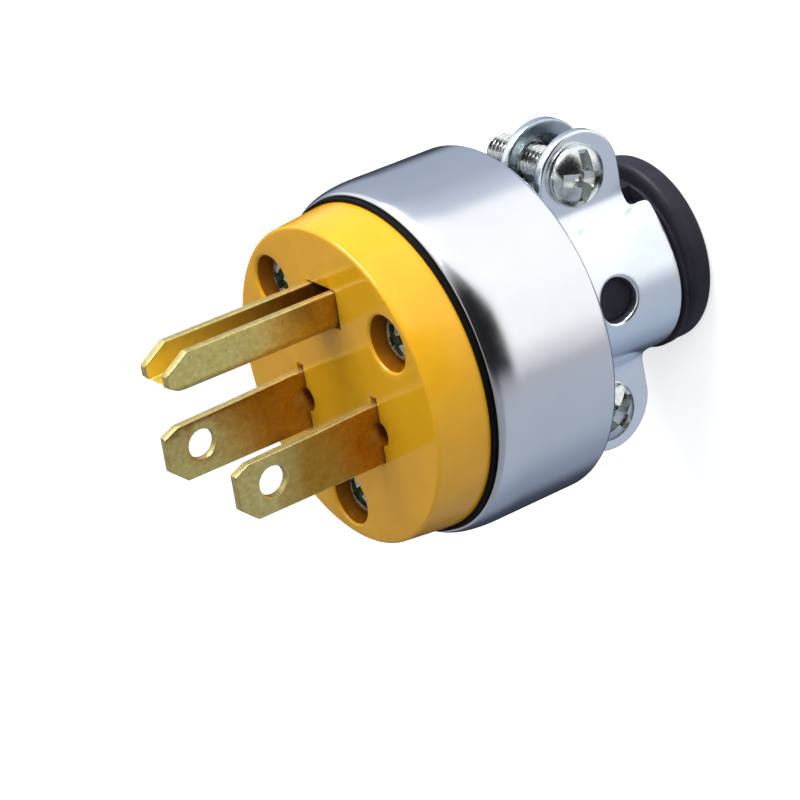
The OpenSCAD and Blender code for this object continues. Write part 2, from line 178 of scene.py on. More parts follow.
def new_object(name, verts, faces, face_mats=None):
    """Mesh object from points in mm, normals outwards."""
    me = bpy.data.meshes.new(name)
    me.from_pydata([tuple(c * MM for c in v) for v in verts], [], faces)
    if face_mats is not None:
        me.polygons.foreach_set("material_index", face_mats)
    bm = bmesh.new()
    bm.from_mesh(me)
    bmesh.ops.remove_doubles(bm, verts=bm.verts, dist=1e-7)
    bmesh.ops.recalc_face_normals(bm, faces=bm.faces)
    bm.to_mesh(me)
    bm.free()
    return link(bpy.data.objects.new(name, me))


def arc(cx, cy, r, a0, a1, n, ends=True):
    """Points of an arc, angles in degrees."""
    k = range(n + 1) if ends else range(n)
    return [(cx + r * math.cos(math.radians(a0 + (a1 - a0) * i / n)),
             cy + r * math.sin(math.radians(a0 + (a1 - a0) * i / n))) for i in k]


def circle(cx, cy, r, n):
    return arc(cx, cy, r, 0, 360, n, ends=False)


def densify(points, step):
    """The closed outline with extra points, so that no edge is longer than step."""
    out = []
    for i, p in enumerate(points):
        q = points[(i + 1) % len(points)]
        d = math.dist(p, q)
        k = max(1, math.ceil(d / step - 1e-6))
        out += [(p[0] + (q[0] - p[0]) * j / k, p[1] + (q[1] - p[1]) * j / k) for j in range(k)]
    return out


def into_material(points, hole):
    """A mitred normal per point that leads into the material."""
    p = np.array(points, float)
    e = np.roll(p, -1, 0) - p
    e /= np.linalg.norm(e, axis=1)[:, None]
    n = np.stack([-e[:, 1], e[:, 0]], 1)
    both = n + np.roll(n, 1, 0)
    both /= np.maximum(np.linalg.norm(both, axis=1), 1e-9)[:, None]
    both /= np.maximum((both * n).sum(1), 0.5)[:, None]
    area = (p[:, 0] * np.roll(p[:, 1], -1) - np.roll(p[:, 0], -1) * p[:, 1]).sum()
    sign = (1 if area > 0 else -1) * (-1 if hole else 1)
    return both * sign


def inside(poly, pts):
    """Which points lie inside the polygon."""
    x, y = pts[:, 0], pts[:, 1]
    odd = np.zeros(len(pts), bool)
    q = np.roll(poly, -1, 0)
    for (x0, y0), (x1, y1) in zip(poly, q):
        if y0 == y1:
            continue
        hit = ((y0 > y) != (y1 > y)) & (x < (x1 - x0) * (y - y0) / (y1 - y0) + x0)
        odd ^= hit
    return odd


def fill(rings, grid, extra):
    """Triangles of the region inside the first ring and outside the others."""
    outer = np.array(rings[0])
    pts = [tuple(p) for r in rings for p in r]
    edges, start = [], 0
    for r in rings:
        n = len(r)
        edges += [(start + i, start + (i + 1) % n) for i in range(n)]
        start += n
    border = np.array(pts)
    spare = [np.array(extra, float).reshape(-1, 2)]
    if grid:
        du, dv = grid
        lo, hi = outer.min(0), outer.max(0)
        us = np.arange(math.floor(lo[0] / du) * du, hi[0], du)
        vs = np.arange(math.floor(lo[1] / dv) * dv, hi[1], dv)
        g = np.stack(np.meshgrid(us, vs), -1).reshape(-1, 2)
        if len(extra):
            far = np.array([np.min(np.abs(spare[0] - p).max(1)) > EXTRA_CLEAR * du for p in g])
            g = g[far]
        spare.append(g)
    spare = np.concatenate(spare)
    if len(spare):
        ok = inside(outer, spare)
        for r in rings[1:]:
            ok &= ~inside(np.array(r), spare)
        spare = spare[ok]
        margin = BORDER_CLEAR * (min(grid) if grid else 0.2)
        near = np.array([np.min(np.hypot(*(border - p).T)) for p in spare])
        spare = spare[near > margin] if len(spare) else spare
        pts += [tuple(p) for p in spare]
    vv, _, ff, ov, _, _ = delaunay_2d_cdt([Vector(p) for p in pts], edges, [], 1, 1e-6)
    tri_pts = np.array([list(v) for v in vv])
    cen = np.array([tri_pts[list(f)].mean(0) for f in ff])
    ok = inside(outer, cen)
    for r in rings[1:]:
        ok &= ~inside(np.array(r), cen)
    return tri_pts, [tuple(f) for f, k in zip(ff, ok) if k], ov, len(border)


def plate(name, loops, grid=None, extra=(), warp=None, edge_mat=0):
    """Closed solid between a top and a bottom region. Each loop is (points, chain);
    the first is the outline and the others are holes. A chain lists (inset, z) from
    the top region's edge to the bottom's, where inset leads into the material."""
    verts, faces, mats = [], [], []
    tops, bottoms, ring_ids = [], [], []
    for k, (points, chain) in enumerate(loops):
        p = np.array(points, float)
        nrm = into_material(points, k > 0)
        ids = []
        for inset, z in chain:
            ring = p + nrm * inset
            ids.append(list(range(len(verts), len(verts) + len(p))))
            verts += [(a, b, z) for a, b in ring]
        n = len(p)
        for a, b in zip(ids, ids[1:]):
            faces += [(a[i], a[(i + 1) % n], b[(i + 1) % n], b[i]) for i in range(n)]
        tops.append(p + nrm * chain[0][0])
        bottoms.append(p + nrm * chain[-1][0])
        ring_ids.append((ids[0], ids[-1]))
    mats += [edge_mat] * len(faces)
    for side, rings in enumerate((tops, bottoms)):
        z = loops[0][1][0 if side == 0 else -1][1]
        tri_pts, tris, origin, n_border = fill(rings, grid, extra)
        border_ids = [i for ids in ring_ids for i in ids[side]]
        lookup = []
        for i, p in enumerate(tri_pts):
            o = [q for q in origin[i] if q < n_border]
            if o:
                lookup.append(border_ids[o[0]])
            else:
                lookup.append(len(verts))
                verts.append((p[0], p[1], z))
        faces += [tuple(lookup[i] for i in t) for t in tris]
        mats += [0] * len(tris)
    if warp:
        verts = [warp(*v) for v in verts]
    return new_object(name, verts, faces, mats)


def quarter(steps):
    """Angles of a quarter turn, in radians."""
    return [math.pi / 2 * i / steps for i in range(steps + 1)]


def corner(z, r, steps):
    """Start of an edge's chain: the upper corner, rounded by r."""
    return [(r * (1 - math.sin(t)), z - r * (1 - math.cos(t))) for t in quarter(steps)]


def rounded(z_top, z_bottom, r, steps):
    """Chain of a plate's edge with both its corners rounded by r."""
    top = corner(z_top, r, steps)
    return top + [(i, z_bottom + (z_top - z)) for i, z in reversed(top)]


def lathe(name, profile, segments):
    """Solid turned about Z from (r, z) points. Without points at r = 0 it is a ring."""
    verts, rings = [], []
    for r, z in profile:
        if r < 1e-6:
            rings.append([len(verts)])
            verts.append((0, 0, z))
        else:
            rings.append(list(range(len(verts), len(verts) + segments)))
            for i in range(segments):
                a = 2 * math.pi * i / segments
                verts.append((r * math.cos(a), r * math.sin(a), z))
    faces = []
    pairs = list(zip(rings, rings[1:]))
    if len(rings[0]) > 1:
        pairs.append((rings[-1], rings[0]))
    for a, b in pairs:
        for i in range(segments):
            j = (i + 1) % segments
            if len(a) == 1 and len(b) == 1:
                break
            if len(a) == 1:
                faces.append((a[0], b[j], b[i]))
            elif len(b) == 1:
                faces.append((a[i], a[j], b[0]))
            else:
                faces.append((a[i], a[j], b[j], b[i]))
    return new_object(name, verts, faces)


def boolean(obj, others, operation):
    """Applies an exact boolean with each of the other objects, which are then removed."""
    for o in others:
        m = obj.modifiers.new("cut", "BOOLEAN")
        m.operation, m.solver, m.object = operation, "EXACT", o
        bpy.context.view_layer.update()
        depsgraph = bpy.context.evaluated_depsgraph_get()
        done = bpy.data.meshes.new_from_object(obj.evaluated_get(depsgraph))
        obj.modifiers.clear()
        obj.data = done
        bpy.data.objects.remove(o)


def mark(obj, index, test):
    """Gives a material index to the plain faces whose centre, in mm, passes the test."""
    for f in obj.data.polygons:
        if f.material_index == 0 and test(*(c / MM for c in f.center)):
            f.material_index = index


def finish_piece(obj, mats, nodes):
    """Materials and shading; the piece goes under the root body and the CAD parts it stands for
    are hidden.
    """
    for m in mats:
        obj.data.materials.append(m)
    for p in obj.data.polygons:
        p.use_smooth = True
    obj.data.set_sharp_from_angle(angle=SHARP_ANGLE)
    w = obj.modifiers.new("even normals", "WEIGHTED_NORMAL")
    w.keep_sharp = True
    w.weight = 60
    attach(obj, "root")
    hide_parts(*nodes)


# ---- materials

class Nodes:
    """Short calls for building one material's node tree."""

    def __init__(self, name, **values):
        self.mat = bpy.data.materials.new(name)
        self.mat.use_nodes = True
        self.tree = self.mat.node_tree
        self.tree.nodes.clear()
        out = self.add("ShaderNodeOutputMaterial")
        self.bsdf = self.add("ShaderNodeBsdfPrincipled")
        self.tree.links.new(self.bsdf.outputs[0], out.inputs["Surface"])
        for k, v in values.items():
            self.bsdf.inputs[k].default_value = v
        coord = self.add("ShaderNodeTexCoord")
        self.mm = self.add("ShaderNodeMapping")
        self.mm.inputs["Scale"].default_value = (1 / MM, 1 / MM, 1 / MM)
        self.tree.links.new(coord.outputs["Object"], self.mm.inputs["Vector"])

    def add(self, kind, **props):
        n = self.tree.nodes.new(kind)
        for k, v in props.items():
            setattr(n, k, v)
        return n

    def to(self, source, node, socket):
        self.tree.links.new(source, node.inputs[socket])

    def noise(self, scale, detail, rough=0.55, stretch=(1, 1, 1)):
        """Noise with features of about 1 / scale mm, stretched per axis."""
        m = self.add("ShaderNodeMapping")
        m.inputs["Scale"].default_value = stretch
        self.to(self.mm.outputs[0], m, "Vector")
        n = self.add("ShaderNodeTexNoise")
        n.inputs["Scale"].default_value = scale
        n.inputs["Detail"].default_value = detail
        n.inputs["Roughness"].default_value = rough
        self.to(m.outputs[0], n, "Vector")
        return n.outputs["Fac"]

    def ramp(self, fac, first, dark, light):
        """Colour from dark at the first stop to light at 0.7."""
        r = self.add("ShaderNodeValToRGB")
        for e, pos, col in zip(r.color_ramp.elements, (first, 0.7), (dark, light)):
            e.position = pos
            e.color = (*col, 1)
        self.to(fac, r, "Fac")
        return r.outputs["Color"]

    def spread(self, fac, low, high, a=0.3, b=0.7):
        """Value from low, where the factor is a, to high, where it is b."""
        m = self.add("ShaderNodeMapRange")
        m.inputs["From Min"].default_value = a
        m.inputs["From Max"].default_value = b
        m.inputs["To Min"].default_value = low
        m.inputs["To Max"].default_value = high
        self.to(fac, m, "Value")
        return m.outputs[0]

    def mix(self, fac, a, b):
        m = self.add("ShaderNodeMix", data_type="RGBA")
        self.to(fac, m, 0)
        for i, c in ((6, a), (7, b)):
            if isinstance(c, tuple):
                m.inputs[i].default_value = (*c, 1)
            else:
                self.tree.links.new(c, m.inputs[i])
        return m.outputs[2]

    def base(self, colour):
        self.to(colour, self.bsdf, "Base Color")

    def rough(self, value):
        self.to(value, self.bsdf, "Roughness")

    def bump(self, height, strength, depth_mm):
        b = self.add("ShaderNodeBump")
        b.inputs["Strength"].default_value = strength
        b.inputs["Distance"].default_value = depth_mm * MM
        self.to(height, b, "Height")
        self.to(b.outputs[0], self.bsdf, "Normal")


# Scales of a metal's fine marks and of its painted foot tone's wavy end, in features per mm,
# how far that end wavers in mm, and how sharply the spots end
GRAIN_SCALE = 9
WAVE_SCALE = 0.35
PAINTED_FOOT_WAVE = 5.0
SPOT_EDGE = (0.62, 0.72)


def metal(name, dark, light, rough, patch, streak=(1, 1, 1), bump=0.004, spots=None,
          metallic=1.0, painted_foot_tone=None):
    """Plated or rolled metal: patchy colour, uneven gloss and fine tool marks.
    The patch is the scale of its colour, the rough (lowest, highest) and the spots are
    (scale, colour, share). The painted foot tone is (dark, light, z_full, z_none): another tone
    towards the foot, on the blades and the pin a painted reflection of the yellow face."""
    n = Nodes(name, Metallic=metallic)
    fac = n.noise(patch, 5, 0.6)
    colour = n.ramp(fac, 0.3, dark, light)
    # Painted foot tone: painted reflection of the yellow face, or painted shade in the pin's
    # inside copy
    if painted_foot_tone:
        foot_dark, foot_light, z_full, z_none = painted_foot_tone
        split = n.add("ShaderNodeSeparateXYZ")
        n.to(n.mm.outputs[0], split, 0)
        wavy = n.add("ShaderNodeMath", operation="MULTIPLY_ADD")
        n.to(n.noise(WAVE_SCALE, 3), wavy, 0)
        wavy.inputs[1].default_value = PAINTED_FOOT_WAVE
        n.to(split.outputs[2], wavy, 2)
        foot = n.ramp(fac, 0.3, foot_dark, foot_light)
        half = PAINTED_FOOT_WAVE / 2
        past_painted_foot = n.spread(wavy.outputs[0], 0, 1, z_full + half, z_none + half)
        colour = n.mix(past_painted_foot, foot, colour)
    if spots:
        scale, spot, share = spots
        colour = n.mix(n.spread(n.noise(scale, 2, 0.5), 0, share, *SPOT_EDGE), colour, spot)
    n.base(colour)
    n.rough(n.spread(n.noise(patch * 3, 4, 0.6), *rough))
    n.bump(n.noise(GRAIN_SCALE, 3, 0.6, stretch=streak), 0.6, bump)
    return n.mat


def plastic(name, ior, dark, light, tone, gloss, grain=None):
    """Plastic or rubber. The tone is (scale, detail, first stop), the gloss (scale, lowest
    and highest roughness) and the grain (scale, detail, roughness, strength, depth in mm)."""
    n = Nodes(name, IOR=ior)
    scale, detail, first = tone
    n.base(n.ramp(n.noise(scale, detail), first, dark, light))
    scale, low, high = gloss
    n.rough(n.spread(n.noise(scale, 4), low, high))
    if grain:
        scale, detail, rough, strength, depth = grain
        n.bump(n.noise(scale, detail, rough), strength, depth)
    return n.mat


yellow = plastic("yellow_plastic", 1.5, (0.74, 0.37, 0.010), (0.80, 0.41, 0.015),
                 tone=(0.22, 4, 0.3), gloss=(1.6, 0.09, 0.15), grain=(0.4, 3, 0.55, 0.2, 0.02))
# Darker yellow for the recess walls: painted shade
yellow_painted_shade = plastic("yellow_recess_painted_shade", 1.3, (0.25, 0.08, 0.002), (0.31, 0.11, 0.003),
                      tone=(0.8, 4, 0.3), gloss=(1.6, 0.2, 0.3))
rubber = plastic("rubber_black", 1.28, (0.017, 0.016, 0.024), (0.027, 0.025, 0.036),
                 tone=(0.4, 4, 0.3), gloss=(0.9, 0.38, 0.52), grain=(5, 4, 0.7, 0.4, 0.008))
# The liner's own black, darkened further as painted shade in the gap beside the shell
liner_black_painted_shade = plastic("liner_black_painted_shade", 1.2, (0.001, 0.001, 0.001), (0.004, 0.004, 0.004),
                      tone=(1.3, 5, 0.35), gloss=(3, 0.5, 0.75), grain=(7, 4, 0.7, 0.6, 0.02))
phenolic = plastic("phenolic_black", 1.55, (0.01, 0.01, 0.011), (0.028, 0.026, 0.025),
                   tone=(1.2, 4, 0.35), gloss=(2, 0.3, 0.5), grain=(6, 3, 0.55, 0.4, 0.01))

# The blades share their sheet. Towards the foot both take a darker, more orange tone, a painted
# reflection of the yellow face, which reaches nearer to the line blade's tip
BLADE_SHEET = dict(dark=(0.60, 0.48, 0.16), light=(0.84, 0.70, 0.26), rough=(0.26, 0.38),
                   patch=1.8, streak=(1, 1, 0.12), bump=0.005,
                   spots=(2.6, (0.34, 0.27, 0.10), 0.5))
brass = metal("brass_rolled", **BLADE_SHEET,
              painted_foot_tone=((0.48, 0.27, 0.04), (0.62, 0.38, 0.07), FACE_Z + 5, FACE_Z + 12))
brass_line_painted_reflection = metal("brass_rolled_line", **BLADE_SHEET,
                   painted_foot_tone=((0.43, 0.215, 0.022), (0.56, 0.30, 0.04), FACE_Z + 8, FACE_Z + 14))
# Ground pin: its darker, more orange foot is a painted reflection of the yellow face
brass_pin = metal("brass_pin", (0.72, 0.60, 0.19), (0.98, 0.85, 0.30), (0.26, 0.38), patch=1.8,
                  streak=(1, 1, 0.12), bump=0.005, spots=(2.6, (0.40, 0.32, 0.10), 0.5),
                  painted_foot_tone=((0.40, 0.25, 0.04), (0.54, 0.35, 0.07), FACE_Z + 1, FACE_Z + 9))
brass_cut = metal("brass_cut", (0.58, 0.44, 0.15), (0.82, 0.68, 0.27), (0.28, 0.4), patch=1.8,
                  bump=0.005, metallic=0.85)
# Inside of the ground pin's U: a lighter, more golden copy of the brass as painted light, turning
# dark brown towards the foot as painted shade deep in the U
brass_inner_painted_light = metal("brass_inner_painted_light", (0.88, 0.68, 0.10), (0.95, 0.76, 0.14), (0.3, 0.42),
                    patch=1.2, bump=0.005, metallic=0.75,
                    painted_foot_tone=((0.24, 0.10, 0.006), (0.33, 0.15, 0.01), FACE_Z + 2, FACE_Z + 20))
shell_steel = metal("shell_plate", (0.79, 0.80, 0.82), (0.84, 0.85, 0.87), (0.15, 0.20),
                    patch=0.12, bump=0.0012)
zinc = metal("zinc_plate", (0.85, 0.92, 0.98), (0.92, 0.96, 1.0), (0.22, 0.28), patch=0.15,
             bump=0.0012)
# Darker zinc for the faces between the ears: painted shade
zinc_painted_gap_shade = metal("zinc_between_ears_painted_shade", (0.44, 0.52, 0.56), (0.60, 0.68, 0.74), (0.24, 0.32),
                 patch=0.4, bump=0.002)
screw_zinc = metal("screw_zinc", (0.60, 0.63, 0.60), (0.86, 0.88, 0.85), (0.16, 0.30),
                   patch=1.2, bump=0.003, spots=(1.6, (0.34, 0.38, 0.28), 0.6))
face_zinc = metal("face_screw_zinc", (0.42, 0.48, 0.40), (0.92, 0.94, 0.90), (0.2, 0.35),
                  patch=1.3, spots=(1.1, (0.10, 0.15, 0.09), 0.7), metallic=0.7)
# Near-black green for the faces inside the heads' cross: painted shade
face_cross_painted_shade = metal("face_screw_cross", (0.05, 0.08, 0.04), (0.16, 0.21, 0.13), (0.25, 0.4),
                   patch=1.6, metallic=0.6)
nickel = metal("nickel_screw", (0.62, 0.60, 0.55), (0.75, 0.73, 0.68), (0.2, 0.35), patch=1.2)
brass_screw = metal("brass_screw", (0.60, 0.46, 0.18), (0.75, 0.60, 0.28), (0.2, 0.35), patch=1.2)
green_screw = metal("green_screw", (0.04, 0.18, 0.08), (0.08, 0.28, 0.13), (0.25, 0.4), patch=1.2)


# ---- pieces

def front_insert():
    taper = FACE_R - INSERT_R
    side = corner(FACE_Z, FACE_ROUND, 6)
    side += [(taper, DRAFT_Z), (taper, JOINT_Z + 0.1), (taper + 0.1, JOINT_Z)]
    loops = [(circle(0, 0, FACE_R, 288), side)]
    floor_z = FACE_Z - RECESS_DEPTH
    recess = corner(FACE_Z, RECESS_ROUND, 4)
    recess += [(0, floor_z + 0.2), (-0.06, floor_z + 0.06), (-0.2, floor_z), (-1.1, floor_z),
               (-1.1, JOINT_Z)]
    loops += [(circle(x, y, RECESS_R, 72), recess) for x, y, _ in FACE_SCREWS]
    opening = [(0.1, FACE_Z), (0.03, FACE_Z - 0.03), (0, FACE_Z - 0.1), (0, JOINT_Z)]
    ht, hw = BLADE_T / 2 + PLAY, BLADE_W / 2 + PLAY
    right = math.degrees(math.acos((ht - RELIEF_SHIFT) / RELIEF_R))
    left = math.degrees(math.acos((-ht - RELIEF_SHIFT) / RELIEF_R))
    pts = [(-ht, -hw), (ht, -hw)]
    pts += arc(RELIEF_SHIFT, 0, RELIEF_R, -right, right, 14)
    pts += [(ht, hw + 0.6), (-ht, hw + 0.6)]
    pts += arc(RELIEF_SHIFT, 0, RELIEF_R, left, 360 - left, 10)
    for x in (BLADE_X, -BLADE_X):
        loops.append((densify([(x + a, BLADE_Y + b) for a, b in pts], 0.5), opening))
    hg = PIN_W / 2 + PLAY
    y0, y1 = PIN_WEB_Y - PLAY, PIN_WEB_Y - PLAY + PIN_H + 0.15
    loops.append((densify([(-hg, y0), (hg, y0), (hg, y1), (-hg, y1)], 0.5), opening))
    obj = plate("insert_front", loops, grid=(1.2, 1.2))

    def in_recess(x, y, z):
        off_axis = min(math.hypot(x - u, y - v) for u, v, _ in FACE_SCREWS)
        return z < FACE_Z - 0.3 and off_axis < RECESS_R + 0.05

    # The recess walls get the darker yellow, painted shade
    mark(obj, 1, in_recess)
    finish_piece(obj, [yellow, yellow_painted_shade], ["front_insert"])


def flat_blade(name, x, node, sheet):
    w, t, tip = BLADE_W / 2, BLADE_T / 2, BLADE_TIP_Z
    tab, shoulder = TAB_HALF_W, TAB_SHOULDER_Z
    pts = [(-w, TAB_FOOT_Z), (w, TAB_FOOT_Z), (w, shoulder), (tab, shoulder), (tab, JOINT_Z),
           (w, JOINT_Z), (w, tip - 15), (w - 0.25, tip - 9), (w - 0.45, tip - 1.6),
           (w - 1.2, tip), (-w + 1.6, tip), (-w, tip - 1.8), (-w, JOINT_Z), (-tab, JOINT_Z),
           (-tab, shoulder), (-w, shoulder)]
    hole = [(0.16, t), (0.05, t - 0.04), (0, t - 0.14)]
    hole += [(i, -z) for i, z in reversed(hole)]
    loops = [(densify(pts, 0.6), rounded(t, -t, 0.11, 3)),
             (circle(0, BLADE_HOLE_Z, BLADE_HOLE_R, 72), hole),
             (circle(0, TERMINAL_Z, TERMINAL_HOLE_R, 40), [(0, t), (0, -t)])]
    sunk = DIMPLE_BALL_R - DIMPLE_DEPTH
    reach = math.sqrt(DIMPLE_BALL_R ** 2 - sunk ** 2)
    extra = [(0, DIMPLE_Z)]
    for k in range(1, 7):
        extra += circle(0, DIMPLE_Z, reach * k / 6, 10 + 3 * k)

    def warp(u, v, d):
        r = math.hypot(u, v - DIMPLE_Z)
        if d > t - 1e-6 and r < reach:
            d = t + sunk - math.sqrt(DIMPLE_BALL_R ** 2 - r ** 2)
        return (x + d, BLADE_Y + u, v)

    obj = plate(name, loops, grid=(0.8, 0.8), extra=extra, warp=warp, edge_mat=1)
    finish_piece(obj, [sheet, brass_cut], [node])


def ground_pin():
    t = PIN_SHEET / 2
    mid = PIN_BEND - t
    flat = PIN_W / 2 - PIN_BEND
    bend_end = flat + mid * math.pi / 2
    arm_end = bend_end + (PIN_H - PIN_BEND)
    web_y = PIN_WEB_Y + t
    open_y = PIN_WEB_Y + PIN_H
    # How far the bevelled tip lies back, by the height over the web's outside
    drop_at = [(-1, 3.2), (0, 2.5), (0.4, 1.1), (1.1, 0), (PIN_H - 1.7, 0), (PIN_H, 2.6),
               (PIN_H + 1, 4.2)]

    def section(s):
        """Point and normal on the folded sheet's middle, s from the web's centre."""
        a = abs(s)
        k = 1 if s >= 0 else -1
        if a <= flat:
            return k * a, web_y, 0, -1
        if a <= bend_end:
            turn = (a - flat) / mid
            return (k * (flat + mid * math.sin(turn)), web_y + mid * (1 - math.cos(turn)),
                    k * math.sin(turn), -math.cos(turn))
        return k * (flat + mid), web_y + mid + (a - bend_end), k, 0

    def drop(y):
        d = y - PIN_WEB_Y
        for (a, b), (c, e) in zip(drop_at, drop_at[1:]):
            if d <= c:
                return b + (e - b) * (d - a) / (c - a)
        return drop_at[-1][1]

    def warp(u, v, d):
        x, y, nx, ny = section(u)
        x, y = x + nx * d, y + ny * d
        near_tip = (v - (PIN_TIP_Z - PIN_BEVEL_REACH)) / PIN_BEVEL_REACH
        return x, y, v - drop(min(y, open_y)) * min(1, max(0, near_tip))

    foot, half, top = JOINT_Z, PIN_TAB_HALF_W, JOINT_Z + 1
    pts = [(-arm_end, foot), (arm_end, foot), (arm_end, PIN_TIP_Z), (-arm_end, PIN_TIP_Z)]
    obj = plate("pin_ground", [(densify(pts, 0.2), rounded(t, -t, 0.13, 3))], grid=(0.2, 0.5),
                warp=warp, edge_mat=1)
    pts = [(-half, TAB_FOOT_Z), (half, TAB_FOOT_Z), (half, foot), (flat, foot), (flat, top),
           (-flat, top), (-flat, foot), (-half, foot)]
    cut = [(0, t), (0, -t)]
    tab = plate("pin_tab", [(pts, cut), (circle(0, TERMINAL_Z, TERMINAL_HOLE_R, 40), cut)],
                warp=lambda u, v, d: (u, web_y - d, v))
    boolean(obj, [tab], "UNION")
    # Faces inside the U get the brass copy with painted light and painted shade
    deep = 0.6 * PIN_SHEET
    mark(obj, 2, lambda x, y, z: abs(x) < PIN_W / 2 - deep and y > PIN_WEB_Y + deep)
    finish_piece(obj, [brass_pin, brass_cut, brass_inner_painted_light], ["ground_pin"])


def shell():
    chain = [(SHELL_FLOOR_R + SHELL_FLOOR_BEND * math.sin(t),
              SHELL_FLOOR_Z + SHELL_FLOOR_BEND * (1 - math.cos(t))) for t in quarter(4)]
    chain += [(SHELL_IN_R, SHELL_FRONT_Z - 0.08), (SHELL_IN_R + 0.04, SHELL_FRONT_Z - 0.01)]
    chain += [(SHELL_R - SHELL_LIP_DEPTH * (1 - math.cos(t)),
               SHELL_FRONT_Z - SHELL_LIP_LENGTH * (1 - math.sin(t)))
              for t in reversed(quarter(14))]
    chain += [(SHELL_R, 28.5), (SHELL_R, 26.5), (SHELL_R, 23.0)]
    chain += [(SHELL_R - SHELL_BACK_ROUND * (1 - math.cos(t)),
               SHELL_BACK_Z + SHELL_BACK_ROUND * (1 - math.sin(t))) for t in quarter(8)]
    loops = [(circle(0, 0, SHELL_R, 320), [(SHELL_R - r, z) for r, z in chain]),
             (circle(0, 0, NECK_OPENING_R, 160), rounded(SHELL_FLOOR_Z, SHELL_BACK_Z, 0.2, 4))]
    wall, end_z = SHELL_COLLAR_T, SHELL_FLOOR_Z + SHELL_COLLAR_H
    collar = [(wall + 0.2, SHELL_FLOOR_Z), (wall + 0.03, SHELL_FLOOR_Z + 0.17),
              (wall, SHELL_FLOOR_Z + 0.3), (wall, end_z), (0, end_z), (0, SHELL_BACK_Z + 0.4),
              (0.1, SHELL_BACK_Z + 0.12), (0.35, SHELL_BACK_Z)]
    loops += [(circle(x, y, SHELL_COLLAR_BORE_R, 48), collar) for x, y, _ in FACE_SCREWS]
    obj = plate("shell_cup", loops, grid=(1.5, 1.5))
    finish_piece(obj, [shell_steel], ["shell"])


def liner():
    r0, r1, z0, z1 = LINER_IN_R, LINER_R, SHELL_FLOOR_Z, LINER_FRONT_Z
    e = 0.1
    profile = [(r0, z0), (r1, z0), (r1, z1 - e), (r1 - 0.03, z1 - 0.03), (r1 - e, z1),
               (r0 + e, z1), (r0 + 0.03, z1 - 0.03), (r0, z1 - e)]
    obj = lathe("liner_ring", profile, 288)
    finish_piece(obj, [liner_black_painted_shade], ["liner"])


# The clamp halves are one bent sheet each: (s, v) on the sheet, s along the
# section from the +X side, v up the neck and then out along the flange.
FILLET = 2.4
BEND_R = FILLET + NECK_SHEET / 2
FILLET_X = EAR_OUT_X + FILLET
FILLET_Y = math.sqrt((NECK_R + FILLET) ** 2 - FILLET_X ** 2)
BEND_A = math.atan2(FILLET_Y, FILLET_X)
S_BEND = NECK_MID_R * BEND_A
S_EAR = S_BEND + BEND_R * BEND_A
FOLD_R = 0.8
FOLD_Z = SHELL_FLOOR_Z + NECK_SHEET / 2 - FOLD_R
FOLD_V = FOLD_Z + FOLD_R * math.pi / 2
CLAMP_FLANGE_R = 16.6
FLANGE_END_V = FOLD_V + CLAMP_FLANGE_R - NECK_MID_R - FOLD_R
# Heights between which the sheet goes over from the ears to the plain neck
EARS_END_Z, NECK_START_Z = 15.6, 18.6
# Flare of one tab end: its range of s, its growth, the height it reaches and how far
# that height falls off over the last range of s
FLARE_FROM, FLARE_TO = 3.5, 8.8
FLARE_RATE, FLARE_POWER = 0.042, 1.9
FLARE_TOP_Z, FLARE_TOP_FALL = 9.0, 3.5
FALL_FROM, FALL_TO = 6.5, 10.0
# Outline of the flat sheet: the tab's corner, the centre and radius of the notch
# beside it, and the radius of the inner corner over an ear
TAB_CORNER_S = 8.85
NOTCH_S, NOTCH_R = 10.15, 0.8
OVER_EAR_R = 0.9
# Ear at +Y and ear at -Y: the centre's distance from the middle and its height, and
# the angle at which the sheet's edge runs up the neck beyond the ear
EARS_NEAR = (12.6, 10.4, 1.318), (12.9, 9.75, 1.318)
EARS_FAR = (12.75, 10.5, 1.318), (12.6, 10.0, 1.25)
EAR_HOLE_R = 2.15
EAR_COLLAR_R = 3.0
EAR_COLLAR_H = 1.1
FLANGE_HOLE_R = 2.8
# Where the faces between the two halves' ears lie, which get darker zinc as painted shade
GAP_FROM_Y = 8.9
GAP_TOP_Z = 16.2


def smooth(a, b, x):
    t = min(1, max(0, (x - a) / (b - a)))
    return t * t * (3 - 2 * t)


def s_at(y):
    """Where on the sheet an ear point at that Y lies."""
    return math.copysign(S_EAR + abs(y) - FILLET_Y, y)


def sheet_point(s, v, d, flared):
    """Point at the distance d outwards from the middle of the +X half's sheet."""
    k = 1 if s >= 0 else -1
    a = abs(s)
    turn = a / NECK_MID_R
    if v > FOLD_Z:
        t = min((v - FOLD_Z) / FOLD_R, math.pi / 2)
        r = NECK_MID_R + FOLD_R * (1 - math.cos(t)) + max(0, v - FOLD_V) + d * math.cos(t)
        z = FOLD_Z + FOLD_R * math.sin(t) - d * math.sin(t)
        return r * math.cos(turn), k * r * math.sin(turn), z
    nx, ny = math.cos(turn), math.sin(turn)
    x, y = NECK_MID_R * nx, NECK_MID_R * ny
    if a > S_BEND:
        f = BEND_A - min((a - S_BEND) / BEND_R, BEND_A)
        ear = (FILLET_X - BEND_R * math.cos(f),
               FILLET_Y - BEND_R * math.sin(f) + max(0, a - S_EAR), math.cos(f), math.sin(f))
        t = smooth(EARS_END_Z, NECK_START_Z, v)
        x, y, nx, ny = (p + (q - p) * t for p, q in zip(ear, (x, y, nx, ny)))
        n = math.hypot(nx, ny)
        nx, ny = nx / n, ny / n
    if k == flared and a > FLARE_FROM:
        ends = FLARE_TOP_Z - FLARE_TOP_FALL * smooth(FALL_FROM, FALL_TO, a)
        grown = FLARE_RATE * (min(a, FLARE_TO) - FLARE_FROM) ** FLARE_POWER
        d += grown * (1 - smooth(NECK_END_Z, ends, v))
    return x + nx * d, k * (y + ny * d), v


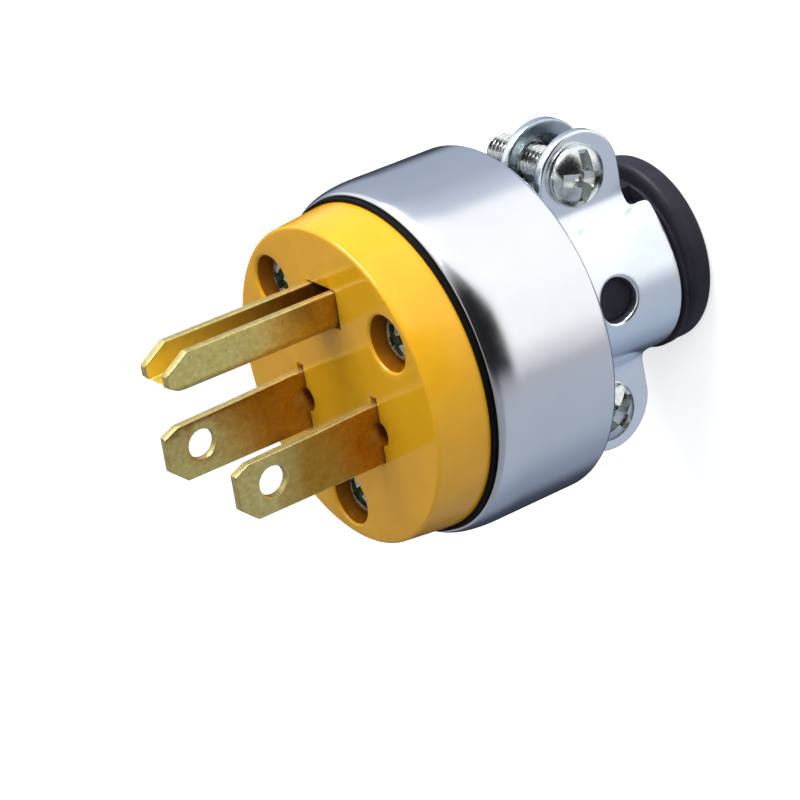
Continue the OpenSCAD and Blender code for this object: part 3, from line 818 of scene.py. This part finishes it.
def clamp_side(y, z, turn):
    """One side of the flat sheet's outline, from the tab round the ear to the flange."""
    edge, top = turn * NECK_MID_R, z + EAR_R
    out = [(TAB_CORNER_S - 0.65, NECK_END_Z), (TAB_CORNER_S - 0.25, NECK_END_Z + 0.08),
           (TAB_CORNER_S, NECK_END_Z + 0.35)]
    out += arc(NOTCH_S, NECK_END_Z + 1.0, NOTCH_R, 170, 90, 8)
    out += arc(s_at(y), z, EAR_R, -90, 90, 40)
    out += arc(edge + OVER_EAR_R, top + OVER_EAR_R, OVER_EAR_R, 270, 180, 7)
    return out + [(edge, FOLD_V), (edge, FLANGE_END_V)]


def clamp_half(name, node, far):
    t = NECK_SHEET / 2
    upper, lower = EARS_FAR if far else EARS_NEAR
    outline = clamp_side(*upper) + [(-s, v) for s, v in reversed(clamp_side(*lower))]
    loops = [(densify(outline, 0.45), rounded(t, -t, 0.3, 5)),
             (circle(SIDE_HOLE_Y, SIDE_HOLE_Z, SIDE_HOLE_R, 72), rounded(t, -t, 0.32, 4))]
    end = t + EAR_COLLAR_H
    collar = [(0.35, t), (0.1, t + 0.1), (0, t + 0.35), (0, end - 0.15), (-0.05, end - 0.05),
              (-0.15, end), (-0.85, end), (-1.0, end - 0.15), (-1.0, 0.75), (-0.85, 0.45),
              (-0.1, -t + 0.2), (0.0, -t + 0.06), (0.15, -t)]
    for y, z in CLAMP_SCREWS:
        if far:
            loops.append((circle(s_at(y), z, EAR_COLLAR_R, 72), collar))
        else:
            loops.append((circle(s_at(y), z, EAR_HOLE_R, 64), rounded(t, -t, 0.15, 3)))
    hx, hy, _ = FACE_SCREWS[1 if far else 0]
    ring = []
    for px, py in circle(abs(hx), hy, FLANGE_HOLE_R, 40):
        r, turn = math.hypot(px, py), math.atan2(py, px)
        ring.append((turn * NECK_MID_R, FOLD_V + r - NECK_MID_R - FOLD_R))
    loops.append((ring, [(0, t), (0, -t)]))
    flip = -1 if far else 1

    def warp(u, v, d):
        x, y, z = sheet_point(u, v, d, flip)
        return flip * x, y, z

    obj = plate(name, loops, grid=(0.4, 0.4), warp=warp)
    # Faces between the ears get the darker zinc, painted shade
    gap_x = EAR_OUT_X - 0.75 * NECK_SHEET
    mark(obj, 1, lambda x, y, z: abs(x) < gap_x and abs(y) > GAP_FROM_Y and z < GAP_TOP_Z)
    finish_piece(obj, [zinc, zinc_painted_gap_shade], [node])


def bushing():
    bore = [(0, FLANGE_T), (0, 0.9), (0.12, 0.45), (0.4, 0.12), (0.8, 0)]
    obj = plate("bushing", [(circle(0, FLANGE_SHIFT, FLANGE_R, 200), rounded(FLANGE_T, 0, 0.7, 7)),
                            (circle(0, 0, CORD_R, 96), bore)], grid=(1.2, 1.2))
    r0, r1, z0, z1 = CORD_R, SLEEVE_R, SLEEVE_FOOT_Z, SLEEVE_TOP_Z
    profile = [(r0, z0), (r1, z0), (r1, z1 - 0.3), (r1 - 0.1, z1 - 0.07), (r1 - 0.3, z1),
               (r0 + 0.3, z1), (r0 + 0.05, z1 - 0.1), (r0, z1 - 0.3)]
    parts = [lathe("sleeve", profile, 144)]
    r0, r1, z0, z1 = COLLAR_IN_R, COLLAR_R, RIB_FOOT_Z, COLLAR_TOP_Z
    profile = [(r0, z0), (r1, z0), (r1, z1 - 0.16), (r1 - 0.05, z1 - 0.05), (r1 - 0.17, z1),
               (r0, z1)]
    parts.append(lathe("collar", profile, 160))
    half = RIB_HALF_W
    turn = math.degrees(math.atan2(math.sqrt(COLLAR_R ** 2 - half ** 2), half))
    pts = [(half, RIB_IN_Y)] + arc(0, 0, COLLAR_R, turn, 180 - turn, 12) + [(-half, RIB_IN_Y)]
    for rib in (pts, [(x, -y) for x, y in reversed(pts)]):
        parts.append(plate("rib", [(densify(rib, 0.5),
                                    rounded(RIB_TOP_Z, RIB_FOOT_Z, 0.25, 3))]))
    boolean(obj, parts, "UNION")
    finish_piece(obj, [rubber], ["cord_bushing"])


def bar(x, y, z0, z1, draft):
    """Cutting block centred on the axis from z0 to z1 that widens upwards by draft."""
    v = []
    for z, g in ((z0, 0), (z1, draft)):
        a, b = x / 2 + g, y / 2 + g
        v += [(-a, -b, z), (a, -b, z), (a, b, z), (-a, b, z)]
    f = [(0, 1, 2, 3), (4, 5, 6, 7), (0, 1, 5, 4), (1, 2, 6, 5), (2, 3, 7, 6), (3, 0, 4, 7)]
    return new_object("cutter", v, f)


# Heads as (radius, height, dome radius), shafts as (radius, thread pitch, where the
# thread starts), recesses as (slot width and depth, wing width, length and depth,
# core radius and depth)
CLAMP_HEAD, CLAMP_SHAFT, CLAMP_SHAFT_LENGTH = (3.3, 2.3, 4.2), (1.95, 0.6, 0.6), 12.5
CLAMP_RECESS = (1.15, 1.15, 1.15, 4.9, 1.5, 1.3, 2.05)
FACE_HEAD, FACE_SHAFT = (2.55, 1.8, 3.6), (1.5, 0.7, 2)
FACE_RECESS = (0.8, 0.6, 0.8, 3.2, 0.85, 0.95, 1.3)
# Turns of the heads about their own axes, in degrees
CLAMP_TURNS = {"ground": 80.0, "blade": 38.0}
FACE_TURNS = (20, 65, 40)
SCREW_SEGMENTS = 96
STEPS_PER_PITCH = 16
# Lengths over which a thread runs out and a shaft's end narrows, and by how much
RUN_OUT = 0.8
END_LENGTH, END_TAPER = 0.7, 0.45


def dome_z(head, r):
    """Height of a pan head's dome at the distance r from its axis."""
    _, height, dome_r = head
    return height - dome_r + math.sqrt(dome_r ** 2 - r ** 2)


def screw(name, head, shaft, length, recess):
    """Pan head on z = 0 with a threaded shaft below, its cross and slot cut in."""
    head_r, head_h, _ = head
    shaft_r, pitch, thread_from = shaft
    verts, faces = [], []

    def ring(radius, z):
        for i in range(SCREW_SEGMENTS):
            a = 2 * math.pi * i / SCREW_SEGMENTS
            verts.append((radius(a) * math.cos(a), radius(a) * math.sin(a), z))

    side = dome_z(head, head_r)
    edge = 0.22
    profile = [(head_r * f, dome_z(head, head_r * f))
               for f in (0.02, 0.15, 0.3, 0.45, 0.6, 0.72, 0.82, 0.9)]
    profile += [(head_r - 0.12, side + 0.13), (head_r - 0.03, side - 0.05),
                (head_r, side - 0.25), (head_r, edge), (head_r - 0.06, 0.06),
                (head_r - edge, 0), (shaft_r + 0.05, 0)]
    for r, z in profile:
        ring(lambda a, r=r: r, z)
    depth = 0.5 * pitch
    steps = int(length / pitch * STEPS_PER_PITCH)
    for k in range(1, steps + 1):
        z = -length * k / steps
        fade = smooth(0, thread_from, -z) * smooth(0, RUN_OUT, length + z)
        tip = END_TAPER * (1 - smooth(0, END_LENGTH, length + z))

        def radius(a, z=z, fade=fade, tip=tip):
            phase = (z / pitch - a / (2 * math.pi)) % 1
            crest = min(1, max(0, (abs(2 * phase - 1) - 0.06) / 0.8))
            return shaft_r - tip - fade * depth * (1 - crest)
        ring(radius, z)
    seg, n = SCREW_SEGMENTS, len(verts) // SCREW_SEGMENTS
    for j in range(n - 1):
        for i in range(seg):
            k = (i + 1) % seg
            faces.append((j * seg + i, j * seg + k, (j + 1) * seg + k, (j + 1) * seg + i))
    faces.append(tuple(range(seg)))
    faces.append(tuple(range((n - 1) * seg, n * seg)))
    obj = new_object(name, verts, faces)
    slot_w, slot_d, wing_w, wing_l, wing_d, core_r, core_d = recess
    top = head_h + 0.4
    cutters = [bar(2.2 * head_r, slot_w, head_h - slot_d, top, 0.12),
               bar(wing_w, wing_l, head_h - wing_d, top, 0.16),
               bar(wing_l, wing_w, head_h - wing_d - 0.02, top, 0.15),
               lathe("cutter", [(0, head_h - core_d), (core_r * 0.45, head_h - core_d + 0.25),
                                (core_r, top), (0, top)], 32)]
    boolean(obj, cutters, "DIFFERENCE")
    return obj


def place(obj, x, y, z, *turns):
    """Turns the mesh by (degrees, axis), the last turn first, and moves it there."""
    matrix = Matrix.Translation((x * MM, y * MM, z * MM))
    for degrees, axis in turns:
        matrix = matrix @ Matrix.Rotation(math.radians(degrees), 4, axis)
    obj.data.transform(matrix)


def screws():
    for (y, z), (key, turn) in zip(CLAMP_SCREWS, CLAMP_TURNS.items()):
        obj = screw(f"clamp_bolt_{key}", CLAMP_HEAD, CLAMP_SHAFT, CLAMP_SHAFT_LENGTH,
                    CLAMP_RECESS)
        place(obj, EAR_OUT_X, y, z, (90, "Y"), (turn, "Z"))
        finish_piece(obj, [screw_zinc], [f"clamp_screw_{key}_side"])
    seat_z = FACE_Z - RECESS_DEPTH

    def in_cross(x, y, z):
        r = math.hypot(x, y)
        return r < 0.85 * FACE_HEAD[0] and 0 < z < dome_z(FACE_HEAD, r) - 0.1

    for (x, y, node), turn in zip(FACE_SCREWS, FACE_TURNS):
        obj = screw(node.replace("face_screw", "face_bolt"), FACE_HEAD, FACE_SHAFT,
                    seat_z - SHELL_BACK_Z, FACE_RECESS)
        # The faces inside the cross get the dark material, painted shade
        mark(obj, 1, in_cross)
        place(obj, x, y, seat_z, (turn, "Z"))
        finish_piece(obj, [face_zinc, face_cross_painted_shade], [node])


front_insert()
flat_blade("blade_line", BLADE_X, "line_blade", brass_line_painted_reflection)
flat_blade("blade_neutral", -BLADE_X, "neutral_blade", brass)
ground_pin()
shell()
liner()
clamp_half("clamp_near", "clamp_half_near", far=False)
clamp_half("clamp_far", "clamp_half_far", far=True)
bushing()
screws()

HIDDEN = {"rear_insert": phenolic, "line_terminal_screw": brass_screw,
          "neutral_terminal_screw": nickel, "ground_terminal_screw": green_screw,
          "line_wire_plate": brass, "neutral_wire_plate": nickel, "ground_wire_plate": brass}
for node, mat in HIDDEN.items():
    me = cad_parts[node].data
    me.materials.clear()
    me.materials.append(mat)


# ---- camera

RIGHT = Vector((0.58273, -0.13652, -0.80112))
UP = Vector((-0.26682, 0.89900, -0.34729))
BACK = Vector((0.76762, 0.41613, 0.48745))
CAMERA_AT = (0.21994, 0.11507, 0.17307)
SENSOR_MM = 36
FOCAL_PX = 2865.4
PHOTO_PX = 800
cam_data = bpy.data.cameras.new("camera")
cam = link(bpy.data.objects.new("camera", cam_data))
turned = Matrix((RIGHT, UP, BACK)).transposed().to_4x4()
cam.matrix_world = Matrix.Translation(CAMERA_AT) @ turned
cam_data.sensor_width = SENSOR_MM
cam_data.lens = FOCAL_PX / PHOTO_PX * SENSOR_MM
cam_data.clip_start = 0.01
bpy.context.scene.camera = cam


# ---- floor, world and lights

FLOOR_HALF = 3000
FLOOR_LIFT = 0.6


def put(tree, kind, inputs=(), **props):
    """New node with its inputs linked or set."""
    n = tree.nodes.new(kind)
    for k, v in props.items():
        setattr(n, k, v)
    for i, v in enumerate(inputs):
        if isinstance(v, bpy.types.NodeSocket):
            tree.links.new(v, n.inputs[i])
        elif v is not None:
            n.inputs[i].default_value = v
    return n


def floor_material():
    """White floor, lifted a little where the camera sees it."""
    m = bpy.data.materials.new("floor_white")
    m.use_nodes = True
    t = m.node_tree
    t.nodes.clear()
    path = put(t, "ShaderNodeLightPath")
    seen = put(t, "ShaderNodeMath", [path.outputs["Is Camera Ray"], FLOOR_LIFT],
               operation="MULTIPLY")
    lift = put(t, "ShaderNodeEmission", [(1, 1, 1, 1), seen.outputs[0]])
    diffuse = put(t, "ShaderNodeBsdfDiffuse", [(0.82, 0.82, 0.83, 1)])
    both = put(t, "ShaderNodeAddShader", [diffuse.outputs[0], lift.outputs[0]])
    put(t, "ShaderNodeOutputMaterial", [both.outputs[0]])
    return m


floor = new_object("floor", [(FLOOR_HALF * a, FLOOR_HALF * b, 0)
                             for a, b in ((-1, -1), (1, -1), (1, 1), (-1, 1))], [(0, 1, 2, 3)])
floor.data.materials.append(floor_material())
floor.visible_glossy = False

world = bpy.data.worlds.new("studio")
bpy.context.scene.world = world
world.use_nodes = True
wt = world.node_tree
wt.nodes.clear()


def wramp(fac, stops, interpolation="EASE"):
    """Ramp of colours or greys."""
    n = put(wt, "ShaderNodeValToRGB", [fac])
    n.color_ramp.interpolation = interpolation
    els = n.color_ramp.elements
    while len(els) < len(stops):
        els.new(0.5)
    for e, (pos, col) in zip(els, stops):
        e.position = pos
        e.color = (*col, 1) if isinstance(col, tuple) else (col, col, col, 1)
    return n.outputs[0]


def turn_ramp(stops, interpolation="EASE"):
    """Ramp over the azimuth, with stops at -180 to 180 degrees."""
    return wramp(azimuth, [((a + 180) / 360, c) for a, c in stops], interpolation)


def wmix(fac, a, b):
    """Mix of two colours, which are the node's inputs 6 and 7."""
    inputs = [fac] + [None] * 5 + [a, b]
    return put(wt, "ShaderNodeMix", inputs, data_type="RGBA").outputs[2]


def wmath(operation, a, b):
    return put(wt, "ShaderNodeMath", [a, b], operation=operation).outputs[0]


def wrange(value, *limits, **props):
    """Value mapped from the first two limits to the last two."""
    return put(wt, "ShaderNodeMapRange", [value, *limits], **props).outputs[0]


# What metal mirrors: a white sweep on the heads' side, blue-grey flags beyond it
# and a dark gap low over the floor in front of the heads.
SWEEP = [(-180, (0.04, 0.047, 0.06)), (-146, (0.018, 0.022, 0.03)), (-120, (0.045, 0.055, 0.08)),
         (-98, (0.24, 0.29, 0.38)), (-60, (0.42, 0.48, 0.58)), (-26, (0.46, 0.50, 0.58)),
         (-14, (0.47, 0.49, 0.55)), (-3, (0.82, 0.82, 0.86)), (10, (1.14, 1.14, 1.15)),
         (60, (1.2, 1.21, 1.23)), (98, (1.14, 1.16, 1.2)), (108, (0.60, 0.66, 0.78)),
         (130, (0.43, 0.49, 0.60)), (168, (0.40, 0.46, 0.57)), (180, (0.15, 0.18, 0.23))]
HIGH = [(0.5, (0.30, 0.32, 0.36)), (0.72, (0.32, 0.33, 0.36)), (0.9, (0.26, 0.27, 0.30)),
        (1.0, (0.24, 0.25, 0.28))]
HIGH_LIT = (0.95, 0.97, 1.0, 1)
GAP = (0.012, 0.012, 0.015, 1)
GAP_EDGE = 0.045
PLAIN = (0.96, 0.98, 1.0, 1)
PLAIN_LEVEL = 0.38

coord = put(wt, "ShaderNodeTexCoord")
way = put(wt, "ShaderNodeSeparateXYZ", [coord.outputs["Generated"]])
azimuth = wrange(wmath("ARCTAN2", way.outputs[1], way.outputs[0]), -math.pi, math.pi, 0.0, 1.0)
height = wrange(way.outputs[2], -1.0, 1.0, 0.0, 1.0)
low_light = turn_ramp(SWEEP)
over = wramp(height, [(0.485, 0), (0.53, 1)])
lit_turn = turn_ramp([(42, 0), (60, 1), (165, 1), (179, 0)])
below_top = wramp(height, [(0.84, 1), (0.95, 0)])
high_light = wmix(wmath("MULTIPLY", lit_turn, below_top), wramp(height, HIGH), HIGH_LIT)
mirrored = wmix(over, low_light, high_light)
gap_turn = turn_ramp([(-18, 0), (2, 1), (46, 1), (84, 0)])
gap_foot = turn_ramp([(34, 0.27), (60, 0.40), (80, 0.60), (104, 0.8)], "B_SPLINE")
gap_height = wrange(wmath("SUBTRACT", height, gap_foot), 0.0, GAP_EDGE, 0.0, 1.0,
                    interpolation_type="SMOOTHSTEP")
flagged = wmix(wmath("MULTIPLY", gap_turn, gap_height), mirrored, GAP)
metal_sees = put(wt, "ShaderNodeBackground", [flagged, 1.0])
path = put(wt, "ShaderNodeLightPath")
level = wrange(path.outputs["Is Camera Ray"], 0.0, 1.0, PLAIN_LEVEL, 1.0)
plain = put(wt, "ShaderNodeBackground", [PLAIN, level])
both = put(wt, "ShaderNodeMixShader",
           [path.outputs["Is Glossy Ray"], plain.outputs[0], metal_sees.outputs[0]])
put(wt, "ShaderNodeOutputWorld", [both.outputs[0]])


AIM = (0, 0, 0.03)


def softbox(name, at, size, power):
    """Lamp of that size, in metres, turned to the plug."""
    data = bpy.data.lights.new(name, "AREA")
    data.shape = "RECTANGLE"
    data.size, data.size_y = size
    data.energy = power
    obj = link(bpy.data.objects.new(name, data))
    turned = (Vector(AIM) - Vector(at)).to_track_quat("-Z", "Y").to_matrix().to_4x4()
    obj.matrix_world = Matrix.Translation(at) @ turned
    return obj


softbox("key_pin_side", (-0.09, 0.5, 0.16), (0.4, 0.3), 3.6)
softbox("fill_heads_side", (0.36, 0.36, 0.2), (0.4, 0.3), 1.0).visible_glossy = False
softbox("top", (-0.15, 0.1, 0.6), (0.5, 0.5), 0.3)

bpy.context.scene.view_settings.view_transform = "Standard"
